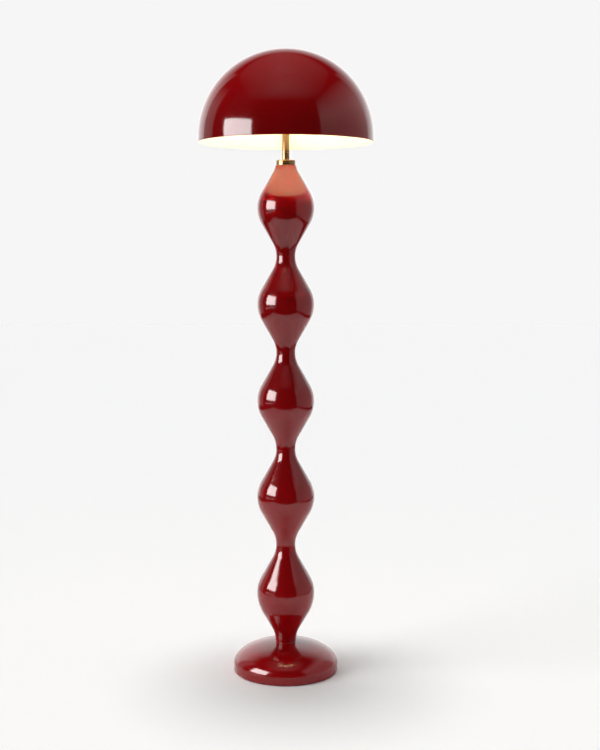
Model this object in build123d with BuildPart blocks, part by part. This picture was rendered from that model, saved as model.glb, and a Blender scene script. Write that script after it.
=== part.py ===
from build123d import *
import os
from math import acos, asin, atan2, degrees, hypot, sqrt

os.makedirs("parts", exist_ok=True)

# Sizes are in millimetres. The lamp stands on the floor at z = 0 and its stem follows the Z axis.
# The back of the lamp, where the mains cord comes in, faces +Y.

# Fits between pieces
slip = 0.1  # radial room of a spigot in its socket
drill_room = 0.4  # radial room round the tie tube where it passes through
turning_gap = 0.3  # room between pieces that turn against each other
weld_gap = 0.2  # layer of weld between the shade's tabs and its wall

# Beads of the stem
bead_count = 5
bead_diameter = 140
bead_pitch = 236.5  # from waist to waist
neck_diameter = 47
crown_radius = 78  # outward curve at a bead's widest place
waist_radius = 63  # inward curve at a bead's ends
foot_diameter = 50.5  # neck of the first bead, where it stands on the base
foot_crown_radius = 95  # outward curve of the first bead's fuller lower half
top_trim = 14  # length that the top bead lacks
spigot_diameter = 30
spigot_height = 8
socket_room = 0.5  # depth of a socket past its spigot
seam_edge = 0.6  # eased edge on both sides of the joint above the base

# Base
base_diameter = 254
base_side_height = 17  # where the upright side ends and the dome begins
base_dome_rise = 53  # height of the half-ellipse that the dome follows
base_fillet = 1.2  # radius between dome and neck
base_edge = 1.5  # radius of the lower edge
base_height = 71.5  # joint between base and stem
base_lift = 1  # lower edge above the floor
base_ceiling = 40  # top of the hollow inside
felt_thickness = 3
plate_thickness = 3
base_rim = 9  # width of the base's underside round the plate
plate_room = 0.5  # radial room of the plate in its recess
weight_diameter = 196
weight_height = 33
weight_room = 0.3
weight_well_diameter = 64
wiring_slot = 30
plate_screw_count = 4
plate_screw_diameter = 4
plate_screw_head = 8
plate_screw_length = 16

# Cord inlet and wiring
inlet_spot_depth = 1.5  # flat cut into the base's side for the bush
bush_diameter = 12
bush_flange_diameter = 17
bush_flange_thickness = 2.5
cord_hole_diameter = 7.5
terminal_width = 20
terminal_length = 28
terminal_height = 16
terminal_room = 20  # from the block to the edge of the weight
terminal_hole_diameter = 3.4
terminal_screw_diameter = 4.6
lead_diameter = 5

# Tie tube with its nuts and washers
tube_diameter = 10
tube_bore = 7
tube_tail = 3  # length below the base nut
nut_width = 17  # across flats
nut_height = 8
washer_diameter = 24
washer_thickness = 2

# Collar and rod
collar_diameter = 47.4
collar_height = 13
collar_edge = 2.2
collar_spigot_height = 3
nut_room = 1  # between the stem nut and the collar
rod_diameter = 18
rod_bore = 14
rod_show = 67  # length that shows above the collar
rod_socket_depth = 6

# Lampholder
cap_boss_diameter = 20
cap_boss_height = 8
cap_floor = 10  # height of the wiring space's floor above the rod
cap_diameter = 38
cap_height = 30
cap_shoulder = 7
cap_well_diameter = 29
cap_seat_diameter = 34
grub_diameter = 3
grub_height = 4  # above the rod's end
insulator_thickness = 12
insulator_hole_circle = 21
skirt_diameter = 39  # over the outer thread
skirt_height = 28
skirt_flange_diameter = 54
skirt_flange_thickness = 2.5
skirt_edge = 1  # rounding of the upper rim
shell_wall = 1
shell_height = 22
contact_width = 5
contact_thickness = 0.8
contact_rise = 4
contact_foot = 7  # length fixed to the insulator

# Shade
shade_diameter = 430
shade_wall = 1.6
shade_skirt = 13  # straight part below the half-sphere
spider_height = 56.5  # above the rim
spider_ring_diameter = 60
spider_thickness = 2.5
spider_arm_width = 12
spider_arm_count = 3
spider_bend = 6
spider_tab_length = 22
shade_ring_diameter = 56
shade_ring_height = 9
grip_count = 18
grip_diameter = 4

# Bulb
bulb_diameter = 60
bulb_neck_diameter = 25.6
bulb_neck_curve = 45
bulb_glass_wall = 1.2
bulb_cap_diameter = 26.4
bulb_cap_height = 20
bulb_cap_wall = 0.8
bulb_insulator_height = 4
bulb_insulator_end = 11  # diameter of the insulator's lower end
bulb_contact_diameter = 9
bulb_contact_height = 1.4

# Radii and heights that follow from the sizes above
bead_radius = bead_diameter / 2
neck_radius = neck_diameter / 2
foot_radius = foot_diameter / 2
base_radius = base_diameter / 2
tube_radius = tube_diameter / 2
tube_hole = tube_radius + drill_room
spigot_radius = spigot_diameter / 2
socket_radius = spigot_radius + slip
socket_depth = spigot_height + socket_room

plate_diameter = base_diameter - 2 * base_rim
plate_screw_circle = (weight_diameter + plate_diameter) / 2
plate_foot = felt_thickness
plate_top = plate_foot + plate_thickness
wiring_height = plate_top + terminal_height / 2
terminal_distance = weight_diameter / 2 - terminal_room - terminal_length  # from the stem's axis
inlet_seat = base_radius - inlet_spot_depth

washer_foot = base_ceiling - washer_thickness
nut_foot = washer_foot - nut_height
tube_foot = nut_foot - tube_tail
lead_bend = tube_foot - wiring_height

stem_top = base_height + bead_count * bead_pitch - top_trim
nut_well_depth = washer_thickness + nut_height + nut_room + collar_spigot_height
nut_well_radius = washer_diameter / 2 + drill_room
nut_well_floor = stem_top - nut_well_depth
collar_top = stem_top + collar_height
rod_foot = collar_top - rod_socket_depth
rod_top = collar_top + rod_show

cap_floor_height = rod_top + cap_floor
cap_top = rod_top + cap_height
insulator_foot = cap_top - insulator_thickness
spider_seat = cap_top + skirt_flange_thickness
spider_top = spider_seat + spider_thickness
thread_radius = skirt_diameter / 2
turning_bore = thread_radius + turning_gap

bulb_cap_radius = bulb_cap_diameter / 2
shell_bore = bulb_cap_radius + turning_gap
shell_radius = shell_bore + shell_wall
skirt_bore = shell_radius + slip
bulb_foot = cap_top + contact_rise + turning_gap
bulb_insulator_foot = bulb_foot + bulb_contact_height
bulb_cap_foot = bulb_insulator_foot + bulb_insulator_height
bulb_cap_top = bulb_cap_foot + bulb_cap_height

rim_height = spider_seat - spider_height
shade_radius = shade_diameter / 2
shade_inner = shade_radius - shade_wall
dome_centre = rim_height + shade_skirt

on_axis = (Align.CENTER, Align.CENTER, Align.MIN)


# Felt pad: the lamp's foot, glued under the base plate
with BuildPart() as felt_pad:
    with BuildSketch(Plane.XY):
        Circle(plate_diameter / 2)
    extrude(amount=felt_thickness)
felt_pad.part.label = "felt_pad"
export_step(felt_pad.part, "parts/felt_pad.step")


# Base plate: sheet steel that closes the base and carries the weight
with BuildPart() as base_plate:
    with BuildSketch(Plane.XY.offset(plate_foot)):
        Circle(plate_diameter / 2)
    extrude(amount=plate_thickness)
    with Locations(Plane.XY.offset(plate_foot).rotated((180, 0, 0))):
        with PolarLocations(plate_screw_circle / 2, plate_screw_count, start_angle=45):
            CounterSinkHole(plate_screw_diameter / 2 + slip, plate_screw_head / 2 + slip)
base_plate.part.label = "base_plate"
export_step(base_plate.part, "parts/base_plate.step")


# Base plate screws: countersunk, driven up into the base
with BuildPart() as base_plate_screws:
    with PolarLocations(plate_screw_circle / 2, plate_screw_count, start_angle=45):
        with Locations((0, 0, plate_foot)):
            Cylinder(plate_screw_diameter / 2, plate_screw_length, align=on_axis)
            Cone(
                plate_screw_head / 2,
                plate_screw_diameter / 2,
                (plate_screw_head - plate_screw_diameter) / 2,
                align=on_axis,
            )
base_plate_screws.part.label = "base_plate_screws"
export_step(base_plate_screws.part, "parts/base_plate_screws.step")


# Base weight: cast-iron ring with a slot for the wiring at the back
with BuildPart() as base_weight:
    with BuildSketch(Plane.XY.offset(plate_top)):
        Circle(weight_diameter / 2)
        Circle(weight_well_diameter / 2, mode=Mode.SUBTRACT)
        with Locations((0, weight_diameter / 2)):
            Rectangle(wiring_slot, weight_diameter, mode=Mode.SUBTRACT)
    extrude(amount=weight_height)
base_weight.part.label = "base_weight"
export_step(base_weight.part, "parts/base_weight.step")


# Base shell: turned body with an upright side, a low dome, a short neck and a spigot for the first bead
inlet_plane = Plane(origin=(0, inlet_seat, wiring_height), z_dir=(0, 1, 0))
with BuildPart() as base_shell:
    with BuildSketch(Plane.XZ) as base_profile:
        with BuildLine():
            base_dome = EllipticalCenterArc(
                (0, base_side_height),
                base_radius,
                base_dome_rise,
                arc_size=degrees(acos(foot_radius / base_radius)),
            )
            Polyline(
                base_dome @ 1,
                (foot_radius, base_height),
                (0, base_height),
                (0, base_lift),
                (base_radius, base_lift),
                base_dome @ 0,
            )
        make_face()
        fillet(base_profile.vertices().sort_by_distance(base_dome @ 1)[0], base_fillet)
        fillet(base_profile.vertices().sort_by_distance((base_radius, base_lift))[0], base_edge)
        chamfer(base_profile.vertices().sort_by_distance((foot_radius, base_height))[0], seam_edge)
    revolve(axis=Axis.Z)
    with Locations((0, 0, base_height)):
        Cylinder(spigot_radius, spigot_height, align=on_axis)
    with Locations((0, 0, base_lift)):
        Cylinder(
            plate_diameter / 2 + plate_room, plate_top - base_lift, align=on_axis, mode=Mode.SUBTRACT
        )
        Cylinder(
            weight_diameter / 2 + weight_room,
            base_ceiling - base_lift,
            align=on_axis,
            mode=Mode.SUBTRACT,
        )
        Cylinder(tube_hole, base_height + spigot_height, align=on_axis, mode=Mode.SUBTRACT)
    with PolarLocations(plate_screw_circle / 2, plate_screw_count, start_angle=45):
        with Locations((0, 0, plate_foot)):
            Cylinder(
                plate_screw_diameter / 2 + slip,
                plate_screw_length + socket_room,
                align=on_axis,
                mode=Mode.SUBTRACT,
            )
    with BuildSketch(inlet_plane):
        Circle(bush_flange_diameter / 2 + slip)
    extrude(amount=bush_flange_thickness, mode=Mode.SUBTRACT)
    with BuildSketch(inlet_plane):
        Circle(bush_diameter / 2 + slip)
    extrude(amount=-(base_radius - weight_diameter / 2), mode=Mode.SUBTRACT)
base_shell.part.label = "base_shell"
export_step(base_shell.part, "parts/base_shell.step")


# Cord bush: flanged sleeve that guards the cord in the base's wall
bush_length = inlet_seat - weight_diameter / 2 - weight_room
with BuildPart() as cord_bush:
    with BuildSketch(inlet_plane):
        Circle(bush_flange_diameter / 2)
    extrude(amount=bush_flange_thickness)
    fillet(cord_bush.edges().sort_by(Axis.Y)[-1], bush_flange_thickness / 2)
    with BuildSketch(inlet_plane):
        Circle(bush_diameter / 2)
    extrude(amount=-bush_length)
    with Locations(inlet_plane):
        Hole(cord_hole_diameter / 2)
cord_bush.part.label = "cord_bush"
export_step(cord_bush.part, "parts/cord_bush.step")


# Terminal block: two barrels side by side, with a clamping screw's well at both ends of each
terminal_barrel = terminal_width / 2
with BuildPart() as terminal_block:
    with BuildSketch(Plane.XY.offset(plate_top)):
        with Locations((0, terminal_distance + terminal_length / 2)):
            Rectangle(terminal_width, terminal_length)
    extrude(amount=terminal_height)
    fillet(
        terminal_block.edges().filter_by(Axis.Y).group_by(Axis.Z)[-1], terminal_barrel / 3
    )
    with BuildSketch(Plane.XZ.offset(-terminal_distance)):
        with Locations((0, wiring_height)):
            with GridLocations(terminal_barrel, 0, 2, 1):
                Circle(terminal_hole_diameter / 2)
    extrude(amount=-terminal_length, mode=Mode.SUBTRACT)
    with BuildSketch(Plane.XY.offset(plate_top + terminal_height)):
        with Locations((0, terminal_distance + terminal_length / 2)):
            with GridLocations(terminal_barrel, terminal_length / 2, 2, 2):
                Circle(terminal_screw_diameter / 2)
    extrude(amount=-terminal_height / 2, mode=Mode.SUBTRACT)
terminal_block.part.label = "terminal_block"
export_step(terminal_block.part, "parts/terminal_block.step")


# Inner lead: from the terminal block round one bend and up through the tie tube to the lampholder
with BuildPart() as inner_lead:
    with BuildLine(Plane.YZ):
        lead_run = Line((terminal_distance, wiring_height), (lead_bend, wiring_height))
        lead_turn = JernArc(lead_run @ 1, lead_run % 1, lead_bend, -90)
        Line(lead_turn @ 1, Vector(0, 0, insulator_foot))
    with BuildSketch(Plane(origin=lead_run @ 0, z_dir=lead_run % 0)):
        Circle(lead_diameter / 2)
    sweep()
inner_lead.part.label = "inner_lead"
export_step(inner_lead.part, "parts/inner_lead.step")


# Tie tube: threaded steel tube through base, beads, collar and rod, screwed into the lampholder
with BuildPart() as tie_tube:
    with BuildSketch(Plane.XY.offset(tube_foot)):
        Circle(tube_radius)
        Circle(tube_bore / 2, mode=Mode.SUBTRACT)
    extrude(amount=cap_floor_height + slip - tube_foot)
tie_tube.part.label = "tie_tube"
export_step(tie_tube.part, "parts/tie_tube.step")


# Washers and nuts: one pair under the base's ceiling, one pair in the top bead's well
for end, washer_height, nut_bottom in (
    ("base", washer_foot, nut_foot),
    ("stem", nut_well_floor, nut_well_floor + washer_thickness),
):
    with BuildPart() as washer:
        with BuildSketch(Plane.XY.offset(washer_height)):
            Circle(washer_diameter / 2)
            Circle(tube_hole, mode=Mode.SUBTRACT)
        extrude(amount=washer_thickness)
    washer.part.label = end + "_washer"
    export_step(washer.part, "parts/" + end + "_washer.step")

    with BuildPart() as nut:
        with BuildSketch(Plane.XY.offset(nut_bottom)):
            RegularPolygon(nut_width / 2, 6, major_radius=False)
            Circle(tube_radius + slip, mode=Mode.SUBTRACT)
        extrude(amount=nut_height)
    nut.part.label = end + "_nut"
    export_step(nut.part, "parts/" + end + "_nut.step")


# Beads: outward crown, straight flanks and inward waists that run into each other without a corner
def flank(waist, crown):
    """Angle and length of the straight flank from a waist's radius to a crown of the given curve."""
    curve_sum = crown + waist_radius
    centre_offset = curve_sum - (bead_radius - waist)
    centre_distance = hypot(bead_pitch / 2, centre_offset)
    angle = asin(curve_sum / centre_distance) - atan2(centre_offset, bead_pitch / 2)
    return degrees(angle), sqrt(centre_distance**2 - curve_sum**2)


for number in range(1, bead_count + 1):
    bead_foot = base_height + (number - 1) * bead_pitch
    bead_top = bead_foot + bead_pitch
    if number == 1:
        lower_radius = foot_radius
        lower_angle, lower_length = flank(foot_radius, foot_crown_radius)
    else:
        lower_radius = neck_radius
        lower_angle, lower_length = flank(neck_radius, crown_radius)
    upper_angle, upper_length = flank(neck_radius, crown_radius)
    with BuildPart() as bead:
        with BuildSketch(Plane.XZ):
            with BuildLine():
                lower_waist = JernArc((lower_radius, bead_foot), (0, 1), waist_radius, -lower_angle)
                lower_flank = Line(lower_waist @ 1, lower_waist @ 1 + lower_waist % 1 * lower_length)
                upper_waist = JernArc((neck_radius, bead_top), (0, -1), waist_radius, upper_angle)
                upper_flank = Line(upper_waist @ 1, upper_waist @ 1 + upper_waist % 1 * upper_length)
                Spline(
                    lower_flank @ 1,
                    (bead_radius, bead_foot + bead_pitch / 2),
                    upper_flank @ 1,
                    tangents=(lower_flank % 1, (0, 1), upper_flank % 1 * -1),
                )
                Polyline(upper_waist @ 0, (0, bead_top), (0, bead_foot), lower_waist @ 0)
            make_face()
        revolve(axis=Axis.Z)
        if number == 1:
            chamfer(bead.faces().sort_by(Axis.Z)[0].edges(), seam_edge)
        if number < bead_count:
            with Locations((0, 0, bead_top)):
                Cylinder(spigot_radius, spigot_height, align=on_axis)
        else:
            split(bisect_by=Plane.XY.offset(stem_top), keep=Keep.BOTTOM)
            with Locations((0, 0, nut_well_floor)):
                Cylinder(nut_well_radius, nut_well_depth, align=on_axis, mode=Mode.SUBTRACT)
        with Locations((0, 0, bead_foot)):
            Cylinder(socket_radius, socket_depth, align=on_axis, mode=Mode.SUBTRACT)
            Cylinder(tube_hole, bead_pitch + spigot_height, align=on_axis, mode=Mode.SUBTRACT)
    bead.part.label = "bead_" + str(number)
    export_step(bead.part, "parts/bead_" + str(number) + ".step")


# Collar: turned brass ring that covers the stem nut and holds the rod upright
with BuildPart() as collar:
    with BuildSketch(Plane.XY.offset(stem_top)):
        Circle(collar_diameter / 2)
    extrude(amount=collar_height)
    fillet(collar.faces().sort_by(Axis.Z)[-1].edges(), collar_edge)
    with BuildSketch(Plane.XY.offset(stem_top)):
        Circle(nut_well_radius - slip)
    extrude(amount=-collar_spigot_height)
    with Locations((0, 0, rod_foot)):
        Cylinder(rod_diameter / 2 + slip, rod_socket_depth, align=on_axis, mode=Mode.SUBTRACT)
    with Locations((0, 0, collar_top)):
        Hole(tube_hole)
collar.part.label = "collar"
export_step(collar.part, "parts/collar.step")


# Rod: brass tube over the tie tube, clamped between collar and lampholder
with BuildPart() as rod:
    with BuildSketch(Plane.XY.offset(rod_foot)):
        Circle(rod_diameter / 2)
        Circle(rod_bore / 2, mode=Mode.SUBTRACT)
    extrude(amount=rod_top - rod_foot)
rod.part.label = "rod"
export_step(rod.part, "parts/rod.step")


# Lampholder cap: screwed on the tie tube, with a wiring space and a ledge for the insulator
with BuildPart() as lampholder_cap:
    with BuildSketch(Plane.XZ) as cap_profile:
        with BuildLine():
            Polyline(
                (tube_radius + slip, rod_top),
                (cap_boss_diameter / 2, rod_top),
                (cap_boss_diameter / 2, rod_top + cap_boss_height),
                (cap_diameter / 2, rod_top + cap_boss_height),
                (cap_diameter / 2, cap_top),
                (cap_seat_diameter / 2, cap_top),
                (cap_seat_diameter / 2, insulator_foot),
                (cap_well_diameter / 2, insulator_foot),
                (cap_well_diameter / 2, cap_floor_height),
                (tube_radius + slip, cap_floor_height),
                close=True,
            )
        make_face()
        fillet(
            cap_profile.vertices().sort_by_distance((cap_diameter / 2, rod_top + cap_boss_height))[0],
            cap_shoulder,
        )
        fillet(
            cap_profile.vertices().sort_by_distance((cap_well_diameter / 2, cap_floor_height))[0],
            cap_shoulder - (cap_diameter - cap_well_diameter) / 4,
        )
    revolve(axis=Axis.Z)
    with BuildSketch(Plane(origin=(0, 0, rod_top + grub_height), z_dir=(0, 1, 0))):
        Circle(grub_diameter / 2 + slip)
    extrude(amount=cap_boss_diameter, mode=Mode.SUBTRACT)
lampholder_cap.part.label = "lampholder_cap"
export_step(lampholder_cap.part, "parts/lampholder_cap.step")


# Grub screw: locks the cap on the tie tube
with BuildPart() as cap_grub_screw:
    with BuildSketch(Plane(origin=(0, tube_radius, rod_top + grub_height), z_dir=(0, 1, 0))):
        Circle(grub_diameter / 2)
    extrude(amount=cap_boss_diameter / 2 - tube_radius)
    chamfer(cap_grub_screw.edges().sort_by(Axis.Y)[0], grub_diameter / 4)
cap_grub_screw.part.label = "cap_grub_screw"
export_step(cap_grub_screw.part, "parts/cap_grub_screw.step")


# Lampholder insulator: ceramic disc with two holes for the conductors
with BuildPart() as lampholder_insulator:
    with BuildSketch(Plane.XY.offset(insulator_foot)):
        Circle(cap_seat_diameter / 2 - slip)
        with PolarLocations(insulator_hole_circle / 2, 2):
            Circle(terminal_hole_diameter / 2, mode=Mode.SUBTRACT)
    extrude(amount=insulator_thickness)
lampholder_insulator.part.label = "lampholder_insulator"
export_step(lampholder_insulator.part, "parts/lampholder_insulator.step")


# Lampholder screw shell: brass sleeve that takes the bulb's cap
with BuildPart() as lampholder_screw_shell:
    with BuildSketch(Plane.XY.offset(cap_top)):
        Circle(shell_radius)
        Circle(shell_bore, mode=Mode.SUBTRACT)
    extrude(amount=shell_height)
lampholder_screw_shell.part.label = "lampholder_screw_shell"
export_step(lampholder_screw_shell.part, "parts/lampholder_screw_shell.step")


# Centre contact: bent bronze tongue with a flat foot, a ramp and a flat pad under the bulb
with BuildPart() as centre_contact:
    with BuildSketch(Plane.YZ):
        with BuildLine():
            Polyline(
                (contact_foot + contact_width / 2, cap_top),
                (contact_foot + contact_width / 2, cap_top + contact_thickness),
                (contact_foot, cap_top + contact_thickness),
                (contact_width / 2, cap_top + contact_rise),
                (-contact_width / 2, cap_top + contact_rise),
                (-contact_width / 2, cap_top + contact_rise - contact_thickness),
                (contact_width / 2 - contact_thickness / 2, cap_top + contact_rise - contact_thickness),
                (contact_foot - contact_thickness, cap_top),
                close=True,
            )
        make_face()
    extrude(amount=contact_width / 2, both=True)
centre_contact.part.label = "centre_contact"
export_step(centre_contact.part, "parts/centre_contact.step")


# Lampholder skirt: sleeve with an outer thread and a flange that carries the shade
with BuildPart() as lampholder_skirt:
    with BuildSketch(Plane.XY.offset(cap_top)):
        Circle(skirt_flange_diameter / 2)
    extrude(amount=skirt_flange_thickness)
    with BuildSketch(Plane.XY.offset(cap_top)):
        Circle(thread_radius)
    extrude(amount=skirt_height)
    with Locations((0, 0, cap_top + skirt_height)):
        Hole(skirt_bore)
    fillet(lampholder_skirt.faces().sort_by(Axis.Z)[-1].edges(), skirt_edge)
lampholder_skirt.part.label = "lampholder_skirt"
export_step(lampholder_skirt.part, "parts/lampholder_skirt.step")


# Shade dome: spun half-sphere with a straight skirt
with BuildPart() as shade_dome:
    with BuildSketch(Plane.XZ):
        with BuildLine():
            CenterArc((0, dome_centre), shade_radius, 0, 90)
            CenterArc((0, dome_centre), shade_inner, 0, 90)
            Polyline(
                (shade_radius, dome_centre),
                (shade_radius, rim_height),
                (shade_inner, rim_height),
                (shade_inner, dome_centre),
            )
            Line((0, dome_centre + shade_inner), (0, dome_centre + shade_radius))
        make_face()
    revolve(axis=Axis.Z)
shade_dome.part.label = "shade_dome"
export_step(shade_dome.part, "parts/shade_dome.step")


# Shade spider: flat ring with arms that turn up into tabs along the dome's wall
arm_height = spider_seat + spider_thickness / 2
tab_radius = shade_inner - weld_gap - spider_thickness / 2
bend_centre_height = arm_height + spider_bend - dome_centre
arm_end = sqrt((tab_radius - spider_bend) ** 2 - bend_centre_height**2)
bend_angle = 90 + degrees(asin(bend_centre_height / (tab_radius - spider_bend)))
with BuildPart() as spider_arm:
    with BuildLine(Plane.XZ):
        arm_run = Line((turning_bore, arm_height), (arm_end, arm_height))
        arm_bend = JernArc(arm_run @ 1, arm_run % 1, spider_bend, bend_angle)
        JernArc(arm_bend @ 1, arm_bend % 1, tab_radius, degrees(spider_tab_length / tab_radius))
    with BuildSketch(Plane(origin=arm_run @ 0, x_dir=(0, 1, 0), z_dir=arm_run % 0)):
        Rectangle(spider_arm_width, spider_thickness)
    sweep()

with BuildPart() as shade_spider:
    with BuildSketch(Plane.XY.offset(spider_seat)):
        Circle(spider_ring_diameter / 2)
    extrude(amount=spider_thickness)
    with PolarLocations(0, spider_arm_count, start_angle=90):
        add(spider_arm.part)
    with Locations((0, 0, spider_top)):
        Hole(turning_bore)
shade_spider.part.label = "shade_spider"
export_step(shade_spider.part, "parts/shade_spider.step")


# Shade ring: threaded ring with moulded grips that holds the spider on the skirt's flange
with BuildPart() as shade_ring:
    with BuildSketch(Plane.XY.offset(spider_top)):
        Circle(shade_ring_diameter / 2)
        Circle(turning_bore, mode=Mode.SUBTRACT)
        with PolarLocations(shade_ring_diameter / 2, grip_count):
            Circle(grip_diameter / 2, mode=Mode.SUBTRACT)
    extrude(amount=shade_ring_height)
shade_ring.part.label = "shade_ring"
export_step(shade_ring.part, "parts/shade_ring.step")


# Bulb contact: solder tip of the bulb
with BuildPart() as bulb_contact:
    with BuildSketch(Plane.XY.offset(bulb_foot)):
        Circle(bulb_contact_diameter / 2)
    extrude(amount=bulb_contact_height)
    fillet(bulb_contact.faces().sort_by(Axis.Z)[0].edges(), bulb_contact_height / 2)
bulb_contact.part.label = "bulb_contact"
export_step(bulb_contact.part, "parts/bulb_contact.step")


# Bulb insulator: black glass cone between tip and cap
with BuildPart() as bulb_insulator:
    with BuildSketch(Plane.XY.offset(bulb_insulator_foot)):
        Circle(bulb_insulator_end / 2)
    with BuildSketch(Plane.XY.offset(bulb_cap_foot)):
        Circle(bulb_cap_radius - bulb_cap_wall)
    loft(ruled=True)
bulb_insulator.part.label = "bulb_insulator"
export_step(bulb_insulator.part, "parts/bulb_insulator.step")


# Bulb cap: drawn metal sleeve, closed below by the insulator
with BuildPart() as bulb_cap:
    with BuildSketch(Plane.XY.offset(bulb_cap_foot)):
        Circle(bulb_cap_radius)
    extrude(amount=bulb_cap_height)
    with BuildSketch(Plane.XY.offset(bulb_cap_foot + bulb_cap_wall)):
        Circle(bulb_cap_radius - bulb_cap_wall)
    extrude(amount=bulb_cap_height, mode=Mode.SUBTRACT)
    chamfer(bulb_cap.faces().sort_by(Axis.Z)[0].edges(), bulb_cap_wall / 2)
bulb_cap.part.label = "bulb_cap"
export_step(bulb_cap.part, "parts/bulb_cap.step")


# Bulb glass: opal globe whose neck runs into the cap
globe_radius = bulb_diameter / 2
bulb_neck_radius = bulb_neck_diameter / 2
globe_rise = sqrt((bulb_neck_curve + globe_radius) ** 2 - (bulb_neck_radius + bulb_neck_curve) ** 2)
globe_centre = bulb_cap_top + globe_rise
neck_turn = degrees(atan2(globe_rise, bulb_neck_radius + bulb_neck_curve))
with BuildPart() as bulb_glass:
    with BuildSketch(Plane.XZ):
        with BuildLine():
            outer_neck = JernArc((bulb_neck_radius, bulb_cap_top), (0, 1), bulb_neck_curve, -neck_turn)
            outer_globe = JernArc(outer_neck @ 1, outer_neck % 1, globe_radius, 90 + neck_turn)
            inner_neck = JernArc(
                (bulb_neck_radius - bulb_glass_wall, bulb_cap_top),
                (0, 1),
                bulb_neck_curve + bulb_glass_wall,
                -neck_turn,
            )
            inner_globe = JernArc(
                inner_neck @ 1, inner_neck % 1, globe_radius - bulb_glass_wall, 90 + neck_turn
            )
            Line(outer_neck @ 0, inner_neck @ 0)
            Line(outer_globe @ 1, inner_globe @ 1)
        make_face()
    revolve(axis=Axis.Z)
bulb_glass.part.label = "bulb_glass"
export_step(bulb_glass.part, "parts/bulb_glass.step")
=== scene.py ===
from math import acos, asin, atan2, cos, hypot, pi, radians, sin, tan

import bmesh
import bpy
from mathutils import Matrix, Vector


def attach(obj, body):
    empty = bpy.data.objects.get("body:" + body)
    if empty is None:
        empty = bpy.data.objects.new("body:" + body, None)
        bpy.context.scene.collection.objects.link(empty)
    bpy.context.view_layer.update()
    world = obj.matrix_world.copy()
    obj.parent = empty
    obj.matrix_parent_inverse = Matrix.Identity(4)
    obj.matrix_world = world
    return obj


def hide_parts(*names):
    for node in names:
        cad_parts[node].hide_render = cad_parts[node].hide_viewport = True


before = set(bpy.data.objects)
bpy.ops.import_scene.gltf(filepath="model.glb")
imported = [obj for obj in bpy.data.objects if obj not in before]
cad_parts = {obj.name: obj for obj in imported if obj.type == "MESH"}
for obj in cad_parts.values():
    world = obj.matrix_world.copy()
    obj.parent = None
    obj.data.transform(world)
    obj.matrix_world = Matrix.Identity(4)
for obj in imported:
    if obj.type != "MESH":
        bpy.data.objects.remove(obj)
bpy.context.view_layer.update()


# Felt pad
# A disc of pressed black wool felt, glued under the steel plate of the base. The lamp stands on it,
# and it shows only as a thin dark line below the lacquered edge.
MM = 0.001  # the lamp's sizes are in millimetres, Blender's in metres
FELT_FIBRE = 2.5
FELT_RELIEF = 0.4


def linear(hex_colour):
    """An sRGB hex colour as linear red, green, blue and alpha."""
    parts = [int(hex_colour[i : i + 2], 16) / 255 for i in (1, 3, 5)]
    return [c / 12.92 if c <= 0.04045 else ((c + 0.055) / 1.055) ** 2.4 for c in parts] + [1.0]


def node(tree, kind, inputs=(), **settings):
    """Adds one node. An input is a value, or the output socket that it is linked to.

    Inputs go by name or by number. A mix has its factor at 0, its numbers at 2 and 3 and its colours
    at 6 and 7. It gives its number at output 0 and its colour at output 2.
    """
    made = tree.nodes.new(kind)
    for name, value in settings.items():
        setattr(made, name, value)
    for name, value in dict(inputs).items():
        if isinstance(value, bpy.types.NodeSocket):
            tree.links.new(value, made.inputs[name])
        else:
            made.inputs[name].default_value = value
    return made


def surface(name, sockets):
    """A new material with its shader's plain values; its patterns are linked where it is described."""
    made = bpy.data.materials.new(name)
    made.use_nodes = True
    shader = made.node_tree.nodes["Principled BSDF"]
    for socket, value in sockets.items():
        shader.inputs[socket].default_value = value
    return made, made.node_tree, shader


def dress(cad_node, finish):
    """Gives a CAD piece its finish."""
    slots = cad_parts[cad_node].data.materials
    slots.clear()
    slots.append(finish)


# Felt gives a soft, uneven black without a highlight. Its fibres are drawn coarser than they are.
felt, tree, shader = surface("pressed wool felt", {"Roughness": 0.95, "Sheen Weight": 0.4})
place = node(tree, "ShaderNodeTexCoord").outputs["Object"]
fibres = node(
    tree, "ShaderNodeTexNoise", {"Vector": place, "Scale": 1 / (FELT_FIBRE * MM), "Detail": 6.0}
).outputs[0]
tone = node(
    tree,
    "ShaderNodeMix",
    {0: fibres, 6: linear("#0E0E0F"), 7: linear("#2A292A")},
    data_type="RGBA",
)
bump = node(tree, "ShaderNodeBump", {"Height": fibres, "Distance": FELT_RELIEF * MM})
tree.links.new(tone.outputs[2], shader.inputs["Base Color"])
tree.links.new(bump.outputs[0], shader.inputs["Normal"])
dress("felt_pad", felt)


# Base plate with its screws, tie tube, washers, nuts and grub screw
# Steel pieces inside the base, the stem and the lampholder, zinc plated and passivated. The plate
# closes the base, and the tube with its nuts clamps base and beads.
ZINC_SPANGLE = 6

# Zinc plating gives a bright grey with a faint crystalline mottle.
zinc, tree, shader = surface("zinc-plated steel", {"Metallic": 1.0})
place = node(tree, "ShaderNodeTexCoord").outputs["Object"]
spangle = node(
    tree, "ShaderNodeTexVoronoi", {"Vector": place, "Scale": 1 / (ZINC_SPANGLE * MM)}
).outputs
tone = node(
    tree,
    "ShaderNodeMix",
    {0: spangle["Color"], 6: linear("#B5B8BA"), 7: linear("#C9CACC")},
    data_type="RGBA",
)
gloss = node(tree, "ShaderNodeMapRange", {"Value": spangle["Distance"], "To Min": 0.28, "To Max": 0.42})
tree.links.new(tone.outputs[2], shader.inputs["Base Color"])
tree.links.new(gloss.outputs[0], shader.inputs["Roughness"])
for steel_piece in (
    "base_plate",
    "base_plate_screws",
    "tie_tube",
    "base_washer",
    "base_nut",
    "stem_washer",
    "stem_nut",
    "cap_grub_screw",
):
    dress(steel_piece, zinc)


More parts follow.
